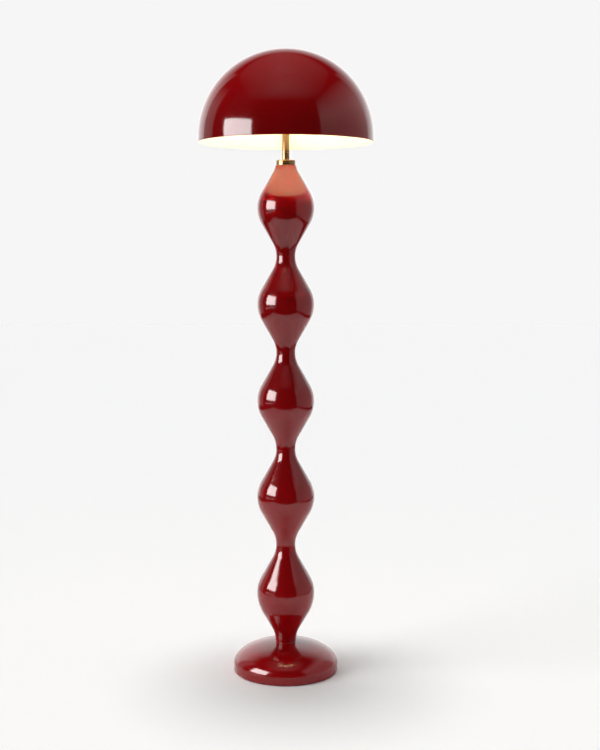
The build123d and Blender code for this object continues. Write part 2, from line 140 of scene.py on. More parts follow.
# Base weight
# A grey cast-iron ring, rough from the sand mould and dipped in black primer. It lies on the plate
# and gives the lamp its stand.
SAND_GRAIN = 1.2
SAND_RELIEF = 0.3

# Primed casting gives a dull, pitted dark grey.
iron, tree, shader = surface("primed cast iron", {"Roughness": 0.7, "Metallic": 0.3})
place = node(tree, "ShaderNodeTexCoord").outputs["Object"]
grain = node(
    tree, "ShaderNodeTexNoise", {"Vector": place, "Scale": 1 / (SAND_GRAIN * MM), "Detail": 4.0}
).outputs[0]
tone = node(
    tree,
    "ShaderNodeMix",
    {0: grain, 6: linear("#242427"), 7: linear("#3C3C3F")},
    data_type="RGBA",
)
bump = node(tree, "ShaderNodeBump", {"Height": grain, "Distance": SAND_RELIEF * MM})
tree.links.new(tone.outputs[2], shader.inputs["Base Color"])
tree.links.new(bump.outputs[0], shader.inputs["Normal"])
dress("base_weight", iron)


# Base shell
# A turned wooden body, hollow below, under many coats of deep red gloss lacquer: an upright side, a low
# dome and a short neck that carries the first bead. The cord's inlet is drilled into it from behind.
BASE_RADIUS = 127.0
BASE_LIFT = 1.0
BASE_EDGE = 1.5
BASE_SIDE = 17.0
BASE_RISE = 53.0
BASE_FILLET = 1.2
BASE_HEIGHT = 71.5
BASE_CEILING = 40.0
PLATE_RECESS = 118.5
PLATE_TOP = 6.0
WEIGHT_HOLLOW = 98.3
FOOT_RADIUS = 25.25
SEAM_EDGE = 0.6
INLET_HEIGHT = 14.0
INLET_SEAT = 125.5
INLET_FLANGE = 8.6
INLET_BORE = 6.1
BASE_SEGMENTS = 256
BASE_RINGS = 72
BASE_EDGE_STEPS = 6
INLET_SEGMENTS = 64
CREASE = radians(28)  # an edge that turns by more than this stays crisp
LACQUER_WAVE = 22
LACQUER_RELIEF = 0.05
LACQUER_CLOUD = 70
LACQUER_POLISH = 5


def rounded(before, corner, after, radius, steps):
    """Points of the arc that rounds a corner of an outline."""
    corner = Vector(corner)
    back = (Vector(before) - corner).normalized()
    onward = (Vector(after) - corner).normalized()
    half = back.angle(onward) / 2
    centre = corner + (back + onward).normalized() * radius / sin(half)
    start = (corner + back * radius / tan(half) - centre).normalized()
    end = (corner + onward * radius / tan(half) - centre).normalized()
    return [tuple(centre + start.slerp(end, step / steps) * radius) for step in range(steps + 1)]


def lathe(name, outline, finishes, segments, inner_from=None):
    """Spins an outline of (radius, height) points in millimetres round the lamp's axis.

    The outline starts and ends on the axis, or closes on itself. Faces from the point inner_from on
    take the second finish.
    """
    shape = bmesh.new()
    rings = []
    for radius, height in outline:
        turns = [2 * pi * i / segments for i in range(segments if radius > 0 else 1)]
        spots = [(radius * cos(turn) * MM, radius * sin(turn) * MM, height * MM) for turn in turns]
        rings.append([shape.verts.new(spot) for spot in spots])
    on_axis = outline[0][0] == 0
    pairs = list(zip(rings, rings[1:] if on_axis else rings[1:] + rings[:1]))
    for row, (first, second) in enumerate(pairs):
        for i in range(segments):
            j = (i + 1) % segments
            around = ((first, i), (second, i), (second, j), (first, j))
            corners = dict.fromkeys(ring[k % len(ring)] for ring, k in around)
            face = shape.faces.new(list(corners))
            face.smooth = True
            face.material_index = 1 if inner_from is not None and row >= inner_from else 0
    bmesh.ops.recalc_face_normals(shape, faces=shape.faces)
    mesh = bpy.data.meshes.new(name)
    shape.to_mesh(mesh)
    shape.free()
    mesh.set_sharp_from_angle(angle=CREASE)
    for finish in finishes:
        mesh.materials.append(finish)
    made = bpy.data.objects.new(name, mesh)
    bpy.context.scene.collection.objects.link(made)
    return made


# Gloss lacquer gives a deep, slightly clouded red with clear reflections that waver a little.
lacquer, tree, shader = surface("gloss red lacquer on turned wood", {"IOR": 1.54})
place = node(tree, "ShaderNodeTexCoord").outputs["Object"]
cloud = node(
    tree, "ShaderNodeTexNoise", {"Vector": place, "Scale": 1 / (LACQUER_CLOUD * MM), "Detail": 3.0}
).outputs[0]
tone = node(
    tree,
    "ShaderNodeMix",
    {0: cloud, 6: linear("#8A0307"), 7: linear("#9D050B")},
    data_type="RGBA",
)
wave = node(
    tree, "ShaderNodeTexNoise", {"Vector": place, "Scale": 1 / (LACQUER_WAVE * MM), "Detail": 1.0}
).outputs[0]
bump = node(tree, "ShaderNodeBump", {"Height": wave, "Distance": LACQUER_RELIEF * MM})
polish = node(
    tree, "ShaderNodeTexNoise", {"Vector": place, "Scale": 1 / (LACQUER_POLISH * MM), "Detail": 4.0}
).outputs[0]
gloss = node(tree, "ShaderNodeMapRange", {"Value": polish, "To Min": 0.1, "To Max": 0.14})
tree.links.new(tone.outputs[2], shader.inputs["Base Color"])
tree.links.new(gloss.outputs[0], shader.inputs["Roughness"])
tree.links.new(bump.outputs[0], shader.inputs["Normal"])

base_turns = [acos(FOOT_RADIUS / BASE_RADIUS) * step / BASE_RINGS for step in range(BASE_RINGS, -1, -1)]
base_dome = [(BASE_RADIUS * cos(turn), BASE_SIDE + BASE_RISE * sin(turn)) for turn in base_turns]
base_neck = (FOOT_RADIUS, BASE_HEIGHT)
base_foot = (BASE_RADIUS, BASE_LIFT)
base_outline = [(0, BASE_HEIGHT), (FOOT_RADIUS - SEAM_EDGE, BASE_HEIGHT)]
base_outline += [(FOOT_RADIUS, BASE_HEIGHT - SEAM_EDGE)]
base_outline += rounded(base_neck, base_dome[0], base_dome[1], BASE_FILLET, BASE_EDGE_STEPS)
base_outline += base_dome[1:]
base_outline += rounded(base_dome[-1], base_foot, (0, BASE_LIFT), BASE_EDGE, BASE_EDGE_STEPS)
base_outline += [(PLATE_RECESS, BASE_LIFT), (PLATE_RECESS, PLATE_TOP), (WEIGHT_HOLLOW, PLATE_TOP)]
base_outline += [(WEIGHT_HOLLOW, BASE_CEILING), (0, BASE_CEILING)]
base = lathe("base_shell_lacquered", base_outline, [lacquer], BASE_SEGMENTS)

# The inlet's drill is turned like the base, laid along +Y and cut away from it
inlet_start = WEIGHT_HOLLOW - INLET_BORE
inlet_end = BASE_RADIUS + BASE_EDGE
inlet_outline = [(0, inlet_start), (INLET_BORE, inlet_start), (INLET_BORE, INLET_SEAT)]
inlet_outline += [(INLET_FLANGE, INLET_SEAT), (INLET_FLANGE, inlet_end), (0, inlet_end)]
inlet = lathe("inlet_drill", inlet_outline, [lacquer], INLET_SEGMENTS)
inlet.rotation_euler = (radians(-90), 0, 0)
inlet.location = (0, 0, INLET_HEIGHT * MM)
drilling = base.modifiers.new("cord inlet", "BOOLEAN")
drilling.operation = "DIFFERENCE"
drilling.solver = "EXACT"
drilling.object = inlet
drilled = bpy.data.meshes.new_from_object(base.evaluated_get(bpy.context.evaluated_depsgraph_get()))
drilled.set_sharp_from_angle(angle=CREASE)
base.modifiers.clear()
base.data = drilled
bpy.data.objects.remove(inlet)
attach(base, "stand")
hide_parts("base_shell")


# Cord bush
# A flanged sleeve of black nylon, injection moulded and pushed into the wall of the base from behind.
# It guards the cord at the edge of the wood.
NYLON_GRAIN = 0.8
NYLON_RELIEF = 0.05

# A spark-eroded mould gives a black with a broken, satin highlight. The grain is drawn coarser than it is.
nylon, tree, shader = surface("black moulded nylon", {"Specular IOR Level": 0.4})
place = node(tree, "ShaderNodeTexCoord").outputs["Object"]
grain = node(
    tree, "ShaderNodeTexNoise", {"Vector": place, "Scale": 1 / (NYLON_GRAIN * MM), "Detail": 2.0}
).outputs[0]
tone = node(
    tree,
    "ShaderNodeMix",
    {0: grain, 6: linear("#161616"), 7: linear("#222223")},
    data_type="RGBA",
)
gloss = node(tree, "ShaderNodeMapRange", {"Value": grain, "To Min": 0.4, "To Max": 0.6})
bump = node(tree, "ShaderNodeBump", {"Height": grain, "Distance": NYLON_RELIEF * MM})
tree.links.new(tone.outputs[2], shader.inputs["Base Color"])
tree.links.new(gloss.outputs[0], shader.inputs["Roughness"])
tree.links.new(bump.outputs[0], shader.inputs["Normal"])
dress("cord_bush", nylon)


# Terminal block and inner lead
# White thermoplastic: the moulded block behind the inlet and the sheath of the lead that rises from
# it through the tube. The block stands on the plate, in the slot of the weight.
PLASTIC_GRAIN = 1.5

# Moulded thermoplastic gives a warm white with a satin highlight. Its grain is drawn coarser than it is.
white_plastic, tree, shader = surface("white moulded thermoplastic", {"Specular IOR Level": 0.45})
place = node(tree, "ShaderNodeTexCoord").outputs["Object"]
grain = node(
    tree, "ShaderNodeTexNoise", {"Vector": place, "Scale": 1 / (PLASTIC_GRAIN * MM), "Detail": 3.0}
).outputs[0]
tone = node(
    tree,
    "ShaderNodeMix",
    {0: grain, 6: linear("#DAD7CF"), 7: linear("#E6E3DB")},
    data_type="RGBA",
)
gloss = node(tree, "ShaderNodeMapRange", {"Value": grain, "To Min": 0.32, "To Max": 0.48})
tree.links.new(tone.outputs[2], shader.inputs["Base Color"])
tree.links.new(gloss.outputs[0], shader.inputs["Roughness"])
dress("terminal_block", white_plastic)
dress("inner_lead", white_plastic)


# Beads
# Five turned wooden beads, stacked neck to neck on the tie tube and lacquered like the base. Crown,
# flanks and waists run into each other; the first bead is fuller below, the top one cut short.
BEAD_COUNT = 5
BEAD_RADIUS = 70.0
BEAD_PITCH = 236.5
NECK_RADIUS = 23.5
CROWN_CURVE = 78.0
WAIST_CURVE = 63.0
FOOT_CROWN_CURVE = 95.0
TOP_TRIM = 14.0
BEAD_RINGS = 180
BEAD_SEGMENTS = 192
BEAD_WELD = 0.001
HALF_SIZES = ("Neck Radius", "Crown Curve", "Crown End", "Waist Start", "Flank Slope")
BEAD_SIZES = ("Foot", "Length", "Half Pitch", "Bead Radius", "Waist Curve", "Foot Edge")
BEAD_SIZES += HALF_SIZES + tuple("Lower " + name for name in HALF_SIZES)


def bead_half(prefix, neck, crown_curve):
    """Where the crown, flank and waist of half a bead meet, as values for the bead's node tree."""
    curve_sum = crown_curve + WAIST_CURVE
    centre_offset = curve_sum - (BEAD_RADIUS - neck)
    centre_distance = hypot(BEAD_PITCH / 2, centre_offset)
    flank_angle = asin(curve_sum / centre_distance) - atan2(centre_offset, BEAD_PITCH / 2)
    return {
        prefix + "Neck Radius": neck * MM,
        prefix + "Crown Curve": crown_curve * MM,
        prefix + "Crown End": crown_curve * sin(flank_angle) * MM,
        prefix + "Waist Start": (BEAD_PITCH / 2 - WAIST_CURVE * sin(flank_angle)) * MM,
        prefix + "Flank Slope": tan(flank_angle),
    }


# One node tree turns all the beads from their sizes
bead_tree = bpy.data.node_groups.new("turned bead", "GeometryNodeTree")
bead_tree.interface.new_socket("Geometry", in_out="OUTPUT", socket_type="NodeSocketGeometry")
bead_inputs = {}
for name in BEAD_SIZES:
    socket = bead_tree.interface.new_socket(name, in_out="INPUT", socket_type="NodeSocketFloat")
    bead_inputs[name] = socket.identifier
socket = bead_tree.interface.new_socket("Finish", in_out="INPUT", socket_type="NodeSocketMaterial")
bead_inputs["Finish"] = socket.identifier
given = node(bead_tree, "NodeGroupInput").outputs

# On a flat grid, 1 by 1 about its middle, one side is the bead's height and the other its turn
grid = node(
    bead_tree,
    "GeometryNodeMeshGrid",
    {"Size X": 1.0, "Size Y": 1.0, "Vertices X": BEAD_RINGS, "Vertices Y": BEAD_SEGMENTS + 1},
).outputs[0]
grid_place = node(bead_tree, "GeometryNodeInputPosition").outputs[0]
spot = node(bead_tree, "ShaderNodeSeparateXYZ", {0: grid_place}).outputs
ring_step = 1 / (BEAD_RINGS - 1)
rise = node(
    bead_tree,
    "ShaderNodeMapRange",
    {
        "Value": spot[0],
        "From Min": ring_step - 0.5,
        "From Max": 0.5 - ring_step,
        "To Min": 0.0,
        "To Max": given["Length"],
    },
).outputs[0]
off_middle = node(
    bead_tree, "ShaderNodeMath", {0: rise, 1: given["Half Pitch"]}, operation="SUBTRACT"
).outputs[0]
reach = node(bead_tree, "ShaderNodeMath", {0: off_middle}, operation="ABSOLUTE").outputs[0]
below = node(bead_tree, "ShaderNodeMath", {0: off_middle, 1: 0.0}, operation="LESS_THAN").outputs[0]
half = {
    name: node(bead_tree, "ShaderNodeMix", {0: below, 2: given[name], 3: given["Lower " + name]}).outputs[0]
    for name in HALF_SIZES
}

# Crown: an arc about a centre inside the bead
crown_square = node(
    bead_tree, "ShaderNodeMath", {0: half["Crown Curve"], 1: 2.0}, operation="POWER"
).outputs[0]
reach_square = node(bead_tree, "ShaderNodeMath", {0: reach, 1: 2.0}, operation="POWER").outputs[0]
crown_rest = node(
    bead_tree, "ShaderNodeMath", {0: crown_square, 1: reach_square}, operation="SUBTRACT"
).outputs[0]
crown_root = node(bead_tree, "ShaderNodeMath", {0: crown_rest}, operation="SQRT").outputs[0]
crown_centre = node(
    bead_tree, "ShaderNodeMath", {0: given["Bead Radius"], 1: half["Crown Curve"]}, operation="SUBTRACT"
).outputs[0]
crown = node(bead_tree, "ShaderNodeMath", {0: crown_centre, 1: crown_root}, operation="ADD").outputs[0]

# Waist: an arc about a centre outside the bead
from_waist = node(
    bead_tree, "ShaderNodeMath", {0: given["Half Pitch"], 1: reach}, operation="SUBTRACT"
).outputs[0]
waist_square = node(
    bead_tree, "ShaderNodeMath", {0: given["Waist Curve"], 1: 2.0}, operation="POWER"
).outputs[0]
from_waist_square = node(
    bead_tree, "ShaderNodeMath", {0: from_waist, 1: 2.0}, operation="POWER"
).outputs[0]
waist_rest = node(
    bead_tree, "ShaderNodeMath", {0: waist_square, 1: from_waist_square}, operation="SUBTRACT"
).outputs[0]
waist_root = node(bead_tree, "ShaderNodeMath", {0: waist_rest}, operation="SQRT").outputs[0]
waist_centre = node(
    bead_tree, "ShaderNodeMath", {0: half["Neck Radius"], 1: given["Waist Curve"]}, operation="ADD"
).outputs[0]
waist = node(
    bead_tree, "ShaderNodeMath", {0: waist_centre, 1: waist_root}, operation="SUBTRACT"
).outputs[0]

# Flank: the straight line that touches both arcs
past_crown = node(
    bead_tree, "ShaderNodeMath", {0: reach, 1: half["Crown End"]}, operation="SUBTRACT"
).outputs[0]
flank_drop = node(
    bead_tree, "ShaderNodeMath", {0: past_crown, 1: half["Flank Slope"]}, operation="MULTIPLY"
).outputs[0]
crown_end_square = node(
    bead_tree, "ShaderNodeMath", {0: half["Crown End"], 1: 2.0}, operation="POWER"
).outputs[0]
flank_rest = node(
    bead_tree, "ShaderNodeMath", {0: crown_square, 1: crown_end_square}, operation="SUBTRACT"
).outputs[0]
flank_root = node(bead_tree, "ShaderNodeMath", {0: flank_rest}, operation="SQRT").outputs[0]
flank_top = node(
    bead_tree, "ShaderNodeMath", {0: crown_centre, 1: flank_root}, operation="ADD"
).outputs[0]
flank = node(
    bead_tree, "ShaderNodeMath", {0: flank_top, 1: flank_drop}, operation="SUBTRACT"
).outputs[0]

# The radius at each height, with the eased foot edge; the end rows close on the axis
on_flank = node(
    bead_tree, "ShaderNodeMath", {0: reach, 1: half["Crown End"]}, operation="GREATER_THAN"
).outputs[0]
on_waist = node(
    bead_tree, "ShaderNodeMath", {0: reach, 1: half["Waist Start"]}, operation="GREATER_THAN"
).outputs[0]
crown_or_flank = node(bead_tree, "ShaderNodeMix", {0: on_flank, 2: crown, 3: flank}).outputs[0]
profile = node(bead_tree, "ShaderNodeMix", {0: on_waist, 2: crown_or_flank, 3: waist}).outputs[0]
edge_cut = node(
    bead_tree,
    "ShaderNodeMapRange",
    {
        "Value": rise,
        "From Min": 0.0,
        "From Max": given["Foot Edge"],
        "To Min": given["Foot Edge"],
        "To Max": 0.0,
    },
).outputs[0]
eased = node(bead_tree, "ShaderNodeMath", {0: profile, 1: edge_cut}, operation="SUBTRACT").outputs[0]
edge_row = node(bead_tree, "ShaderNodeMath", {0: spot[0]}, operation="ABSOLUTE").outputs[0]
open_row = node(
    bead_tree, "ShaderNodeMath", {0: edge_row, 1: 0.5 - ring_step / 2}, operation="LESS_THAN"
).outputs[0]
radius = node(bead_tree, "ShaderNodeMath", {0: eased, 1: open_row}, operation="MULTIPLY").outputs[0]

# The grid rolled up round the axis, closed along its seam
angle = node(bead_tree, "ShaderNodeMath", {0: spot[1], 1: 2 * pi}, operation="MULTIPLY").outputs[0]
across = node(bead_tree, "ShaderNodeMath", {0: angle}, operation="COSINE").outputs[0]
along = node(bead_tree, "ShaderNodeMath", {0: angle}, operation="SINE").outputs[0]
x = node(bead_tree, "ShaderNodeMath", {0: radius, 1: across}, operation="MULTIPLY").outputs[0]
y = node(bead_tree, "ShaderNodeMath", {0: radius, 1: along}, operation="MULTIPLY").outputs[0]
z = node(bead_tree, "ShaderNodeMath", {0: rise, 1: given["Foot"]}, operation="ADD").outputs[0]
seat = node(bead_tree, "ShaderNodeCombineXYZ", {0: x, 1: y, 2: z}).outputs[0]
turned = node(bead_tree, "GeometryNodeSetPosition", {"Geometry": grid, "Position": seat}).outputs[0]
closed = node(
    bead_tree, "GeometryNodeMergeByDistance", {"Geometry": turned, "Distance": BEAD_WELD * MM}
).outputs[0]
smooth = node(bead_tree, "GeometryNodeSetShadeSmooth", {"Geometry": closed}).outputs[0]
edge_angle = node(bead_tree, "GeometryNodeInputMeshEdgeAngle").outputs[0]
crease = node(
    bead_tree, "FunctionNodeCompare", {0: edge_angle, 1: CREASE}, operation="GREATER_THAN"
).outputs[0]
crisp = node(
    bead_tree,
    "GeometryNodeSetShadeSmooth",
    {"Geometry": smooth, "Selection": crease, "Shade Smooth": False},
    domain="EDGE",
).outputs[0]
realized = node(bead_tree, "GeometryNodeRealizeInstances", {"Geometry": crisp}).outputs[0]
painted = node(
    bead_tree, "GeometryNodeSetMaterial", {"Geometry": realized, "Material": given["Finish"]}
).outputs[0]
node(bead_tree, "NodeGroupOutput", {0: painted})

for number in range(1, BEAD_COUNT + 1):
    bead = bpy.data.objects.new(f"bead_{number}_lacquered", bpy.data.meshes.new(f"bead_{number}"))
    bpy.context.scene.collection.objects.link(bead)
    turning = bead.modifiers.new("turned bead", "NODES")
    turning.node_group = bead_tree
    bead_values = {
        "Foot": (BASE_HEIGHT + (number - 1) * BEAD_PITCH) * MM,
        "Length": (BEAD_PITCH - (TOP_TRIM if number == BEAD_COUNT else 0)) * MM,
        "Half Pitch": BEAD_PITCH / 2 * MM,
        "Bead Radius": BEAD_RADIUS * MM,
        "Waist Curve": WAIST_CURVE * MM,
        "Foot Edge": (SEAM_EDGE if number == 1 else 0) * MM,
        "Finish": lacquer,
        **bead_half("", NECK_RADIUS, CROWN_CURVE),
    }
    if number == 1:
        bead_values |= bead_half("Lower ", FOOT_RADIUS, FOOT_CROWN_CURVE)
    else:
        bead_values |= bead_half("Lower ", NECK_RADIUS, CROWN_CURVE)
    for name, value in bead_values.items():
        turning[bead_inputs[name]] = value
    made = bpy.data.meshes.new_from_object(bead.evaluated_get(bpy.context.evaluated_depsgraph_get()))
    bead.modifiers.clear()
    bead.data = made
    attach(bead, "stand")
    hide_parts(f"bead_{number}")


# Collar
# A ring turned from brass bar on top of the stem, polished and clear-lacquered, with a rounded upper
# edge and an eased foot. It covers the stem nut and holds the rod upright.
STEM_TOP = BASE_HEIGHT + BEAD_COUNT * BEAD_PITCH - TOP_TRIM
COLLAR_RADIUS = 23.7
COLLAR_HEIGHT = 13.0
COLLAR_EDGE = 2.2
COLLAR_EDGE_STEPS = 10
COLLAR_SEGMENTS = 192
COLLAR_FOOT_EDGE = 0.5
COLLAR_BORE = 9.3
COLLAR_BORE_DEPTH = 1.0
TURNING_MARK = 0.9
TURNING_RUN = 125
TURNING_RELIEF = 0.01

# Polished brass gives a warm gold, its reflections drawn out by turning marks that run round it and
# are drawn coarser than they are. The clear lacquer lays a second, sharper gloss over it.
brass, tree, shader = surface(
    "polished lacquered brass", {"Metallic": 1.0, "Coat Weight": 0.7, "Coat Roughness": 0.06, "Coat IOR": 1.5}
)
place = node(tree, "ShaderNodeTexCoord").outputs["Object"]
mark_scale = (1 / (TURNING_RUN * MM), 1 / (TURNING_RUN * MM), 1 / (TURNING_MARK * MM))
stretch = node(tree, "ShaderNodeMapping", {"Vector": place, "Scale": mark_scale}).outputs[0]
marks = node(tree, "ShaderNodeTexNoise", {"Vector": stretch, "Scale": 1.0, "Detail": 3.0}).outputs[0]
tone = node(
    tree,
    "ShaderNodeMix",
    {0: marks, 6: linear("#775432"), 7: linear("#88643D")},
    data_type="RGBA",
)
gloss = node(tree, "ShaderNodeMapRange", {"Value": marks, "To Min": 0.2, "To Max": 0.33})
bump = node(tree, "ShaderNodeBump", {"Height": marks, "Distance": TURNING_RELIEF * MM})
tree.links.new(tone.outputs[2], shader.inputs["Base Color"])
tree.links.new(gloss.outputs[0], shader.inputs["Roughness"])
tree.links.new(bump.outputs[0], shader.inputs["Normal"])

collar_top = STEM_TOP + COLLAR_HEIGHT
collar_floor = collar_top - COLLAR_BORE_DEPTH
collar_foot = (COLLAR_RADIUS, STEM_TOP)
collar_rim = (COLLAR_RADIUS, collar_top)
collar_outline = [(0, STEM_TOP), (COLLAR_RADIUS - COLLAR_FOOT_EDGE, STEM_TOP)]
collar_outline += [(COLLAR_RADIUS, STEM_TOP + COLLAR_FOOT_EDGE)]
collar_outline += rounded(collar_foot, collar_rim, (0, collar_top), COLLAR_EDGE, COLLAR_EDGE_STEPS)
collar_outline += [(COLLAR_BORE, collar_top), (COLLAR_BORE, collar_floor), (0, collar_floor)]
collar = lathe("collar_turned", collar_outline, [brass], COLLAR_SEGMENTS)
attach(collar, "stand")
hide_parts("collar")


# Rod
# A drawn brass tube with the collar's finish. It stands in the collar round the tie tube and carries
# the lampholder.
ROD_RADIUS = 9.0
ROD_BORE = 7.0
ROD_SHOW = 67.0
ROD_SEAT = 6.0
ROD_SEGMENTS = 96
rod_foot = collar_top - ROD_SEAT
rod_top = collar_top + ROD_SHOW
rod_outline = [(ROD_BORE, rod_foot), (ROD_RADIUS, rod_foot), (ROD_RADIUS, rod_top), (ROD_BORE, rod_top)]
rod = lathe("rod_drawn", rod_outline, [brass], ROD_SEGMENTS)
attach(rod, "stand")
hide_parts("rod")


# Lampholder cap and skirt
# The wiring's white thermoplastic again: the cap sits on the rod and is held by a grub screw, and the
# threaded skirt stands on the cap. Its flange carries the shade.
dress("lampholder_cap", white_plastic)
dress("lampholder_skirt", white_plastic)


# Lampholder insulator
# A disc of unglazed white ceramic, pressed and fired. It lies on a ledge inside the cap and carries
# the brass contacts.
CERAMIC_GRAIN = 0.6
CERAMIC_RELIEF = 0.04

# Unglazed ceramic gives a dull white without a highlight. Its grain is drawn coarser than it is.
ceramic, tree, shader = surface("unglazed fired ceramic", {"Specular IOR Level": 0.35})
place = node(tree, "ShaderNodeTexCoord").outputs["Object"]
grain = node(
    tree, "ShaderNodeTexNoise", {"Vector": place, "Scale": 1 / (CERAMIC_GRAIN * MM), "Detail": 4.0}
).outputs[0]
tone = node(
    tree,
    "ShaderNodeMix",
    {0: grain, 6: linear("#E2DFD7"), 7: linear("#EFECE6")},
    data_type="RGBA",
)
gloss = node(tree, "ShaderNodeMapRange", {"Value": grain, "To Min": 0.7, "To Max": 0.85})
bump = node(tree, "ShaderNodeBump", {"Height": grain, "Distance": CERAMIC_RELIEF * MM})
tree.links.new(tone.outputs[2], shader.inputs["Base Color"])
tree.links.new(gloss.outputs[0], shader.inputs["Roughness"])
tree.links.new(bump.outputs[0], shader.inputs["Normal"])
dress("lampholder_insulator", ceramic)


# Screw shell and centre contact
# Drawn and bent brass sheet on the insulator: the shell that takes the bulb's cap and the tongue that
# presses on its end.
BRASS_STAIN = 5

# Bare brass gives a yellow metal, dulled here and there by heat.
contact_brass, tree, shader = surface("drawn bare brass", {"Metallic": 1.0})
place = node(tree, "ShaderNodeTexCoord").outputs["Object"]
stain = node(
    tree, "ShaderNodeTexNoise", {"Vector": place, "Scale": 1 / (BRASS_STAIN * MM), "Detail": 5.0}
).outputs[0]
tone = node(
    tree,
    "ShaderNodeMix",
    {0: stain, 6: linear("#A98649"), 7: linear("#CDAF72")},
    data_type="RGBA",
)
gloss = node(tree, "ShaderNodeMapRange", {"Value": stain, "To Min": 0.45, "To Max": 0.28})
tree.links.new(tone.outputs[2], shader.inputs["Base Color"])
tree.links.new(gloss.outputs[0], shader.inputs["Roughness"])
dress("lampholder_screw_shell", contact_brass)
dress("centre_contact", contact_brass)


# Shade dome
# A half-sphere spun from steel sheet with a short straight skirt: gloss red enamel outside, satin
# white enamel inside to throw the light down.
SHADE_RADIUS = 215.0
SHADE_WALL = 1.6
SHADE_RIM = 1296.0
SHADE_RIM_EDGE = 0.72
SHADE_RIM_STEPS = 4
SHADE_SKIRT = 13.0
SHADE_RINGS = 96
SHADE_SEGMENTS = 256
ENAMEL_CLOUD = 120
ENAMEL_POLISH = 9
ENAMEL_PEEL = 3.5
ENAMEL_RELIEF = 0.004
WHITE_CLOUD = 60

# Gloss enamel gives an even, deep red with sharp reflections and a trace of orange peel.
red_enamel, tree, shader = surface("gloss red enamel on spun steel", {"IOR": 1.5})
place = node(tree, "ShaderNodeTexCoord").outputs["Object"]
cloud = node(
    tree, "ShaderNodeTexNoise", {"Vector": place, "Scale": 1 / (ENAMEL_CLOUD * MM), "Detail": 2.0}
).outputs[0]
tone = node(
    tree,
    "ShaderNodeMix",
    {0: cloud, 6: linear("#8C0408"), 7: linear("#9B060C")},
    data_type="RGBA",
)
polish = node(
    tree, "ShaderNodeTexNoise", {"Vector": place, "Scale": 1 / (ENAMEL_POLISH * MM), "Detail": 3.0}
).outputs[0]
gloss = node(tree, "ShaderNodeMapRange", {"Value": polish, "To Min": 0.08, "To Max": 0.11})
peel = node(
    tree, "ShaderNodeTexNoise", {"Vector": place, "Scale": 1 / (ENAMEL_PEEL * MM), "Detail": 1.0}
).outputs[0]
bump = node(tree, "ShaderNodeBump", {"Height": peel, "Distance": ENAMEL_RELIEF * MM})
tree.links.new(tone.outputs[2], shader.inputs["Base Color"])
tree.links.new(gloss.outputs[0], shader.inputs["Roughness"])
tree.links.new(bump.outputs[0], shader.inputs["Normal"])

# Satin enamel gives a warm white that spreads the bulb's light.
white_enamel, tree, shader = surface("satin white enamel", {"Specular IOR Level": 0.5})
place = node(tree, "ShaderNodeTexCoord").outputs["Object"]
cloud = node(
    tree, "ShaderNodeTexNoise", {"Vector": place, "Scale": 1 / (WHITE_CLOUD * MM), "Detail": 3.0}
).outputs[0]
tone = node(
    tree,
    "ShaderNodeMix",
    {0: cloud, 6: linear("#ECE5D3"), 7: linear("#F1EBDC")},
    data_type="RGBA",
)
gloss = node(tree, "ShaderNodeMapRange", {"Value": cloud, "To Min": 0.35, "To Max": 0.5})
tree.links.new(tone.outputs[2], shader.inputs["Base Color"])
tree.links.new(gloss.outputs[0], shader.inputs["Roughness"])

dome_centre = SHADE_RIM + SHADE_SKIRT
shade_inner = SHADE_RADIUS - SHADE_WALL
outer_foot, outer_rim = (SHADE_RADIUS, dome_centre), (SHADE_RADIUS, SHADE_RIM)
inner_foot, inner_rim = (shade_inner, dome_centre), (shade_inner, SHADE_RIM)
dome_outline = [(0, dome_centre + SHADE_RADIUS)]
for step in range(1, SHADE_RINGS + 1):
    turn = pi / 2 * step / SHADE_RINGS
    dome_outline.append((SHADE_RADIUS * sin(turn), dome_centre + SHADE_RADIUS * cos(turn)))
dome_outline += rounded(outer_foot, outer_rim, (0, SHADE_RIM), SHADE_RIM_EDGE, SHADE_RIM_STEPS)
inside_from = len(dome_outline)
dome_outline += rounded(outer_rim, inner_rim, inner_foot, SHADE_RIM_EDGE, SHADE_RIM_STEPS)
for step in range(SHADE_RINGS, 0, -1):
    turn = pi / 2 * step / SHADE_RINGS
    dome_outline.append((shade_inner * sin(turn), dome_centre + shade_inner * cos(turn)))
dome_outline.append((0, dome_centre + shade_inner))
dome_finishes = [red_enamel, white_enamel]
dome = lathe("shade_dome_enamelled", dome_outline, dome_finishes, SHADE_SEGMENTS, inside_from)
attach(dome, "shade")
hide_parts("shade_dome")


# Shade spider
# A flat steel ring with three arms, welded to the dome by upturned tabs and enamelled white with it.
# The ring lies on the flange of the lampholder's skirt.
dress("shade_spider", white_enamel)


# Shade ring
# A threaded ring of the lampholder's white thermoplastic. It is screwed down the skirt by hand and
# holds the spider.
dress("shade_ring", white_plastic)


# Bulb glass
# A round envelope of blown opal glass, cemented into the cap. It is lit, and its warm light fills
# the shade.
BULB_GLOW = 68.0
OPAL_CLOUD = 25

# Lit opal glass gives an even, warm white glow, a little cloudy where the opal layer varies.
opal, tree, shader = surface("lit opal glass", {"Roughness": 0.3, "Emission Strength": BULB_GLOW})
place = node(tree, "ShaderNodeTexCoord").outputs["Object"]
cloud = node(
    tree, "ShaderNodeTexNoise", {"Vector": place, "Scale": 1 / (OPAL_CLOUD * MM), "Detail": 2.0}
).outputs[0]
tone = node(
    tree,
    "ShaderNodeMix",
    {0: cloud, 6: linear("#F2EBDD"), 7: linear("#FAF6EE")},
    data_type="RGBA",
)
glow = node(
    tree,
    "ShaderNodeMix",
    {0: cloud, 6: linear("#FFF9CA"), 7: linear("#FFFFDE")},
    data_type="RGBA",
)
tree.links.new(tone.outputs[2], shader.inputs["Base Color"])
tree.links.new(glow.outputs[2], shader.inputs["Emission Color"])
dress("bulb_glass", opal)


